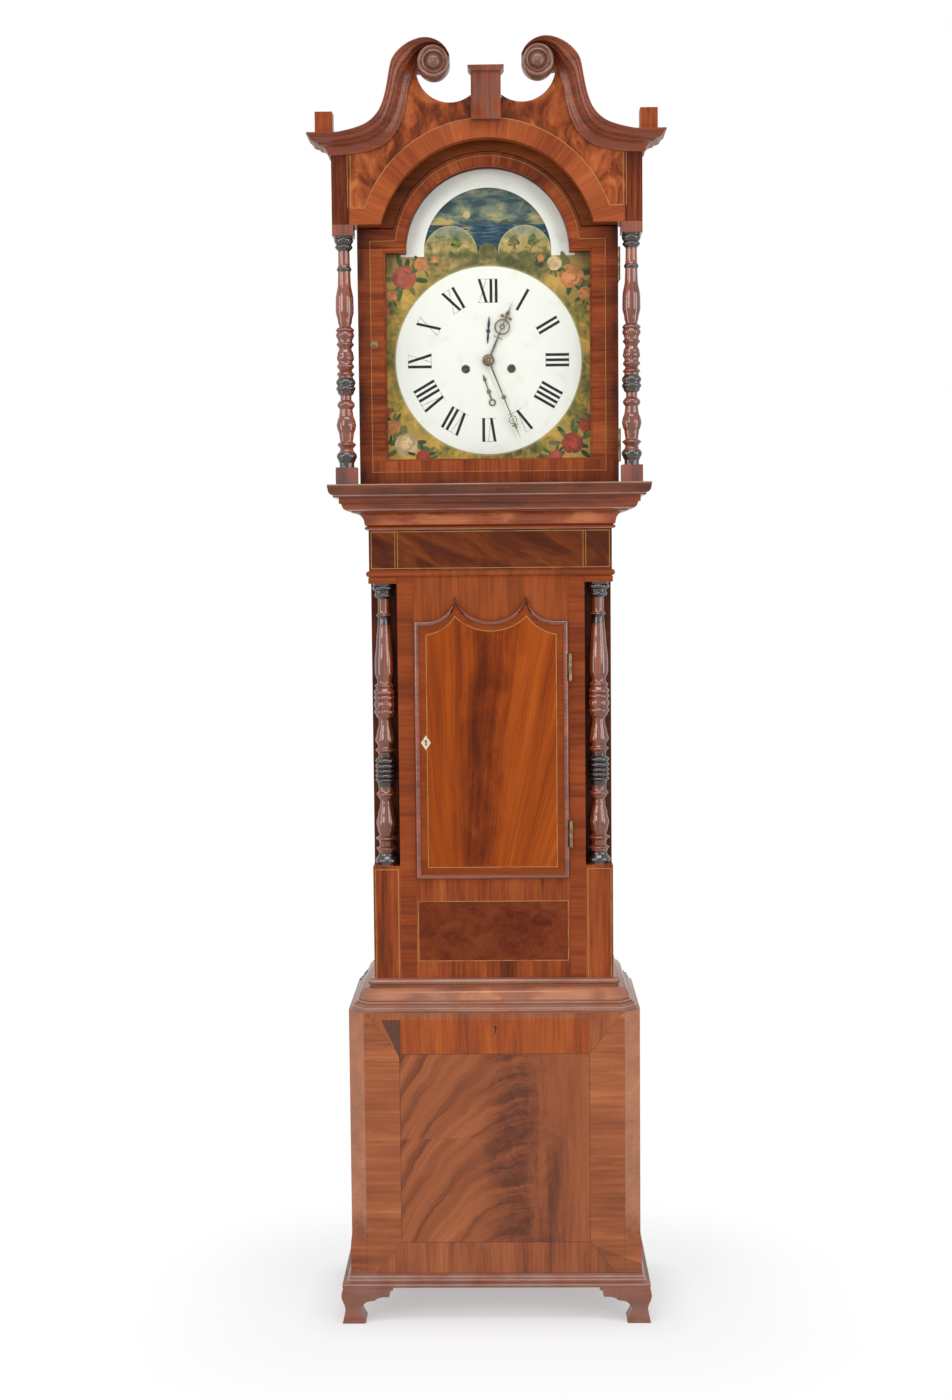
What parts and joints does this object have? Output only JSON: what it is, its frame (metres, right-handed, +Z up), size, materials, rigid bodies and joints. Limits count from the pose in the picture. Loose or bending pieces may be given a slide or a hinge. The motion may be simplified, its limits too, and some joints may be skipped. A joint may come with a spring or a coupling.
{
  "type": "longcase clock",
  "caption": "Mahogany longcase clock with swan neck hood, turned columns, painted arch moon dial, opening doors and weight driven movement",
  "frame": {"origin": "on the floor, under the middle of the bounding box", "axes": "+Z up, the dial and doors face -Y, +X is to the viewer's right"},
  "size_m": [0.574, 0.301, 2.1183],
  "materials": {
    "mahogany": "french polished veneer",
    "mahogany_plain": "polished",
    "pine": "raw, aged",
    "bone": "smooth bone inlay",
    "brass": "satin",
    "brass_hands": "satin",
    "blued_steel": "blued",
    "steel": "satin",
    "bob_brass": "lacquered",
    "bell_metal": "cast",
    "painted_dial": "japanned white",
    "painted_moon": "painted",
    "window_glass": "clear",
    "cast_weight": "painted",
    "gut": "natural gut"
  },
  "bodies": {
    "case": {"bracket_feet": "mahogany", "plinth_moulding": "mahogany", "base_front": "mahogany", "base_sides": "mahogany_plain", "base_floor": "pine", "backboard": "pine", "trunk_base_moulding": "mahogany", "trunk_sides": "mahogany_plain", "trunk_front_frame": "mahogany", "trunk_pedestals": "mahogany", "trunk_columns": "mahogany", "trunk_top_moulding": "mahogany", "seatboard": "pine", "trunk_hinges_case": "brass", "dial_plate": "painted_dial", "movement_plates": "brass", "bell": "bell_metal", "going_gut_drop": "gut", "going_gut_return": "gut", "strike_gut_drop": "gut", "strike_gut_return": "gut"},
    "trunk_door": {"trunk_door": "mahogany", "trunk_escutcheon": "bone", "trunk_hinges_door": "brass"},
    "hood": {"hood_base_frame": "mahogany", "hood_sides": "mahogany_plain", "hood_columns": "mahogany", "hood_tympanum": "mahogany", "hood_side_entablature": "mahogany", "swan_neck_left": "mahogany", "swan_neck_right": "mahogany", "rosettes": "mahogany", "pediment_blocks": "mahogany", "hood_roof": "mahogany_plain", "hood_mask": "mahogany", "hood_hinges": "brass"},
    "hood_door": {"hood_door": "mahogany", "hood_glass": "window_glass", "hood_knob": "brass"},
    "minute_arbor": {"centre_wheel": "brass", "minute_hand": "brass_hands"},
    "hour_pipe": {"hour_wheel": "brass", "hour_hand": "brass_hands"},
    "minute_wheel": {"minute_wheel": "brass"},
    "great_wheel": {"great_wheel": "brass"},
    "third_arbor": {"third_wheel": "brass"},
    "escape_arbor": {"escape_wheel": "brass", "seconds_hand": "blued_steel"},
    "moon": {"moon_disc": "painted_moon"},
    "calendar": {"calendar_hand": "brass_hands"},
    "pendulum": {"pendulum_rod": "steel", "pendulum_bob": "bob_brass"},
    "anchor": {"anchor": "steel"},
    "hammer": {"hammer": "steel"},
    "going_weight": {"going_weight": "cast_weight"},
    "going_pulley": {"going_pulley": "brass"},
    "going_barrel": {"going_barrel": "brass"},
    "strike_weight": {"strike_weight": "cast_weight"},
    "strike_pulley": {"strike_pulley": "brass"},
    "strike_barrel": {"strike_barrel": "brass"}
  },
  "joints": [
    {"name": "hood_slide", "type": "slide", "parent": "case", "child": "hood", "axis": [0, -1, 0], "range_m": [0, 0.3]},
    {"name": "hood_door_hinge", "type": "hinge", "parent": "hood", "child": "hood_door", "pos_m": [0.2147, -0.0828, 1.616], "axis": [0, 0, 1], "range_deg": [0, 90]},
    {"name": "trunk_door_hinge", "type": "hinge", "parent": "case", "child": "trunk_door", "pos_m": [0.1324, -0.0615, 0.883], "axis": [0, 0, 1], "range_deg": [0, 105]},
    {"name": "minute_turn", "type": "hinge", "parent": "case", "child": "minute_arbor", "pos_m": [0, -0.0045, 1.6205], "axis": [0, 1, 0], "continuous": true},
    {"name": "hour_turn", "type": "hinge", "parent": "case", "child": "hour_pipe", "pos_m": [0, -0.0495, 1.6205], "axis": [0, 1, 0], "continuous": true},
    {"name": "minute_wheel_turn", "type": "hinge", "parent": "case", "child": "minute_wheel", "pos_m": [-0.01844, -0.0445, 1.60609], "axis": [0, 1, 0], "continuous": true},
    {"name": "great_wheel_turn", "type": "hinge", "parent": "case", "child": "great_wheel", "pos_m": [0.038, -0.0285, 1.6068], "axis": [0, 1, 0], "continuous": true},
    {"name": "third_turn", "type": "hinge", "parent": "case", "child": "third_arbor", "pos_m": [0.0083, -0.0045, 1.6464], "axis": [0, 1, 0], "continuous": true},
    {"name": "escape_turn", "type": "hinge", "parent": "case", "child": "escape_arbor", "pos_m": [0, -0.0045, 1.6685], "axis": [0, 1, 0], "continuous": true},
    {"name": "moon_turn", "type": "hinge", "parent": "case", "child": "moon", "pos_m": [0, -0.05, 1.797], "axis": [0, 1, 0], "continuous": true},
    {"name": "calendar_turn", "type": "hinge", "parent": "case", "child": "calendar", "pos_m": [0, -0.0545, 1.5695], "axis": [0, 1, 0], "continuous": true},
    {"name": "pendulum_swing", "type": "hinge", "parent": "case", "child": "pendulum", "pos_m": [0, 0.0555, 1.6989], "axis": [0, 1, 0], "range_deg": [-2.5, 2.5]},
    {"name": "anchor_rock", "type": "hinge", "parent": "case", "child": "anchor", "pos_m": [0, -0.0025, 1.6989], "axis": [0, 1, 0], "range_deg": [-2.5, 2.5]},
    {"name": "hammer_lift", "type": "hinge", "parent": "case", "child": "hammer", "pos_m": [-0.04, -0.0045, 1.6945], "axis": [0, 1, 0], "range_deg": [-14, 0], "stiffness_Nm_per_rad": 0.4, "springref_deg": 14.32},
    {"name": "going_weight_travel", "type": "slide", "parent": "case", "child": "going_weight", "axis": [0, 0, 1], "range_m": [0, 1.02], "deforming": ["going_gut_drop", "going_gut_return"]},
    {"name": "going_pulley_turn", "type": "hinge", "parent": "going_weight", "child": "going_pulley", "pos_m": [0.087, -0.0045, 0.4], "axis": [0, 1, 0], "range_deg": [0, 2440.07]},
    {"name": "going_winding", "type": "hinge", "parent": "case", "child": "going_barrel", "pos_m": [0.038, -0.0045, 1.6068], "axis": [0, 1, 0], "range_deg": [0, 4680.34]},
    {"name": "strike_weight_travel", "type": "slide", "parent": "case", "child": "strike_weight", "axis": [0, 0, 1], "range_m": [0, 1.02], "deforming": ["strike_gut_drop", "strike_gut_return"]},
    {"name": "strike_pulley_turn", "type": "hinge", "parent": "strike_weight", "child": "strike_pulley", "pos_m": [-0.087, -0.0045, 0.4], "axis": [0, 1, 0], "range_deg": [-2440.07, 0]},
    {"name": "strike_winding", "type": "hinge", "parent": "case", "child": "strike_barrel", "pos_m": [-0.038, -0.0045, 1.6068], "axis": [0, 1, 0], "range_deg": [-4680.34, 0]}
  ],
  "couplings": [
    {"joint": "hour_turn", "follows": "minute_turn", "ratio": 0.083333},
    {"joint": "minute_wheel_turn", "follows": "minute_turn", "ratio": -1},
    {"joint": "great_wheel_turn", "follows": "minute_turn", "ratio": -0.083333},
    {"joint": "third_turn", "follows": "minute_turn", "ratio": -7.5},
    {"joint": "escape_turn", "follows": "minute_turn", "ratio": 60},
    {"joint": "anchor_rock", "follows": "pendulum_swing", "ratio": 1},
    {"joint": "going_pulley_turn", "follows": "going_weight_travel", "rad_per_m": 41.667},
    {"joint": "going_winding", "follows": "going_weight_travel", "rad_per_m": 80},
    {"joint": "strike_pulley_turn", "follows": "strike_weight_travel", "rad_per_m": -41.667},
    {"joint": "strike_winding", "follows": "strike_weight_travel", "rad_per_m": -80}
  ]
}
